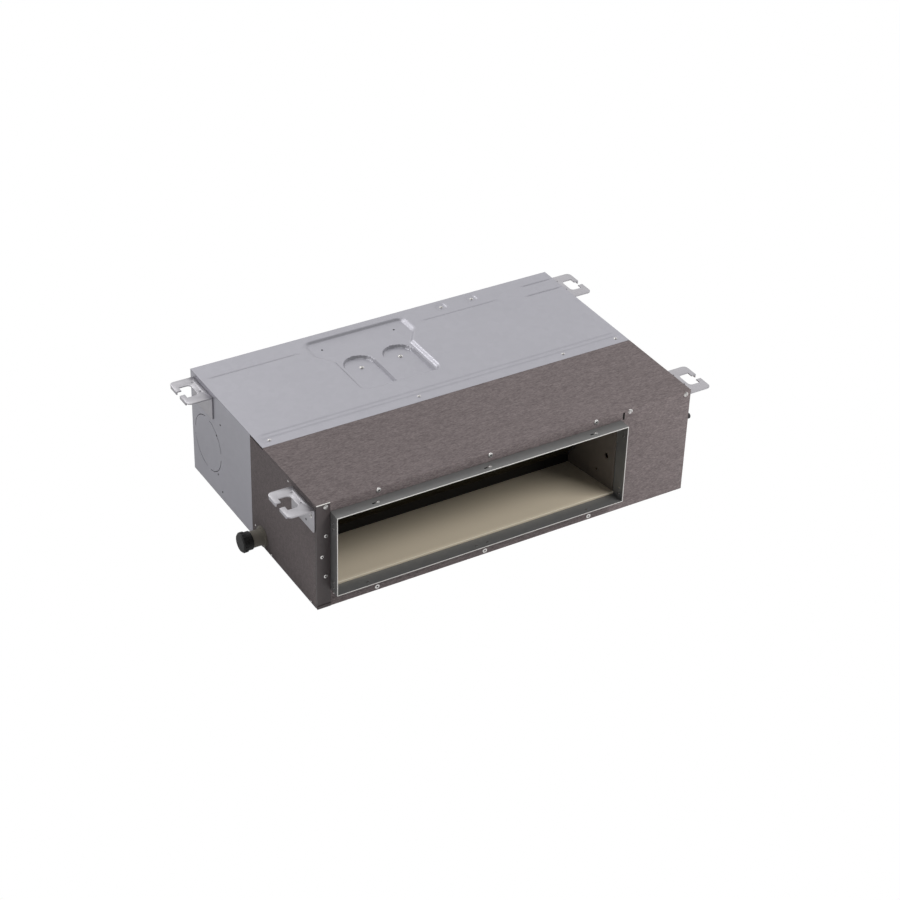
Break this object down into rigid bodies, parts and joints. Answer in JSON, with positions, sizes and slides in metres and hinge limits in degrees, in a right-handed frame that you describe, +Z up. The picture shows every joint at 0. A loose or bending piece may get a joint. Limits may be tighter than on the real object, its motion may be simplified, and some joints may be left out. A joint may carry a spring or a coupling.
{
  "type": "air conditioner indoor unit",
  "caption": "Slim ducted indoor unit in galvanised sheet with felt-covered coil section, outlet collar, hanging brackets, fans, coil, drain pan and filter.",
  "frame": {"origin": "centre of the casing's underside, not counting the collar and brackets", "axes": "+X along the length, to the right as seen from the outlet; -Y out of the outlet; +Z up"},
  "size_m": [0.79, 0.472, 0.198],
  "materials": {
    "galvanised": "galvanised sheet, dull satin with a faint spangle",
    "felt": "grey-brown needled felt, mottled",
    "bracket_steel": "thick galvanised steel, satin",
    "black_plastic": "moulded, matt",
    "motor_paint": "dipped paint, semi-matt",
    "shaft_steel": "ground steel",
    "aluminium_fin": "thin fin stock",
    "pan_plastic": "moulded, smooth, beige",
    "grey_plastic": "moulded, satin",
    "black_rubber": "moulded rubber, matt",
    "copper": "bare copper tube",
    "brass": "turned brass",
    "white_plastic": "moulded, satin",
    "circuit_board": "solder resist over glass fibre"
  },
  "bodies": {
    "casing": {"rear_top_panel": "galvanised", "left_rear_panel": "galvanised", "right_rear_panel": "galvanised", "service_cover": "galvanised", "left_front_panel": "galvanised", "right_front_panel": "galvanised", "front_top_panel": "galvanised", "rear_bottom_panel": "galvanised", "front_bottom_panel": "galvanised", "front_panel": "galvanised", "outlet_collar": "galvanised", "top_felt": "felt", "front_felt": "felt", "left_felt": "felt", "right_felt": "felt", "return_frame": "galvanised", "lower_filter_rail": "galvanised", "upper_filter_rail": "galvanised", "front_left_hanger": "bracket_steel", "rear_left_hanger": "bracket_steel", "front_right_hanger": "bracket_steel", "rear_right_hanger": "bracket_steel", "fan_deck": "galvanised", "upper_left_fan_housing": "black_plastic", "lower_left_fan_housing": "black_plastic", "upper_right_fan_housing": "black_plastic", "lower_right_fan_housing": "black_plastic", "fan_motor": "motor_paint", "left_motor_bracket": "galvanised", "right_motor_bracket": "galvanised", "coil_fins": "aluminium_fin", "coil_left_plate": "galvanised", "coil_right_plate": "galvanised", "coil_tube": "copper", "drain_pan": "pan_plastic", "inner_partition": "galvanised", "drain_socket": "grey_plastic", "coil_seal": "black_rubber", "gas_pipe": "copper", "liquid_pipe": "copper", "gas_flare_nut": "brass", "liquid_flare_nut": "brass", "drain_pump": "white_plastic", "pump_bracket": "galvanised", "float_switch": "white_plastic", "pump_outlet": "grey_plastic", "control_box": "galvanised", "control_board": "circuit_board", "terminal_block": "black_plastic", "run_capacitor": "white_plastic", "side_screw": "black_plastic"},
    "fan_rotor": {"motor_shaft": "shaft_steel", "left_fan_wheel": "black_plastic", "right_fan_wheel": "black_plastic"},
    "air_filter": {"filter_frame": "black_plastic", "filter_mesh": "black_plastic"},
    "drain_cap": {"drain_cap": "black_rubber"},
    "pump_rotor": {"pump_impeller": "white_plastic"},
    "float": {"float": "white_plastic"}
  },
  "joints": [
    {"name": "fan_spin", "type": "hinge", "parent": "casing", "child": "fan_rotor", "pos_m": [-0.053, 0.094, 0.099], "axis": [1, 0, 0], "continuous": true},
    {"name": "filter_pull", "type": "slide", "parent": "casing", "child": "air_filter", "axis": [0, 1, 0], "range_m": [0, 0.12]},
    {"name": "cap_pull", "type": "slide", "parent": "casing", "child": "drain_cap", "axis": [-1, 0, 0], "range_m": [0, 0.04]},
    {"name": "pump_spin", "type": "hinge", "parent": "casing", "child": "pump_rotor", "pos_m": [0.276, -0.091, 0.055], "axis": [0, 0, 1], "continuous": true},
    {"name": "float_rise", "type": "slide", "parent": "casing", "child": "float", "axis": [0, 0, 1], "range_m": [0, 0.02]}
  ]
}
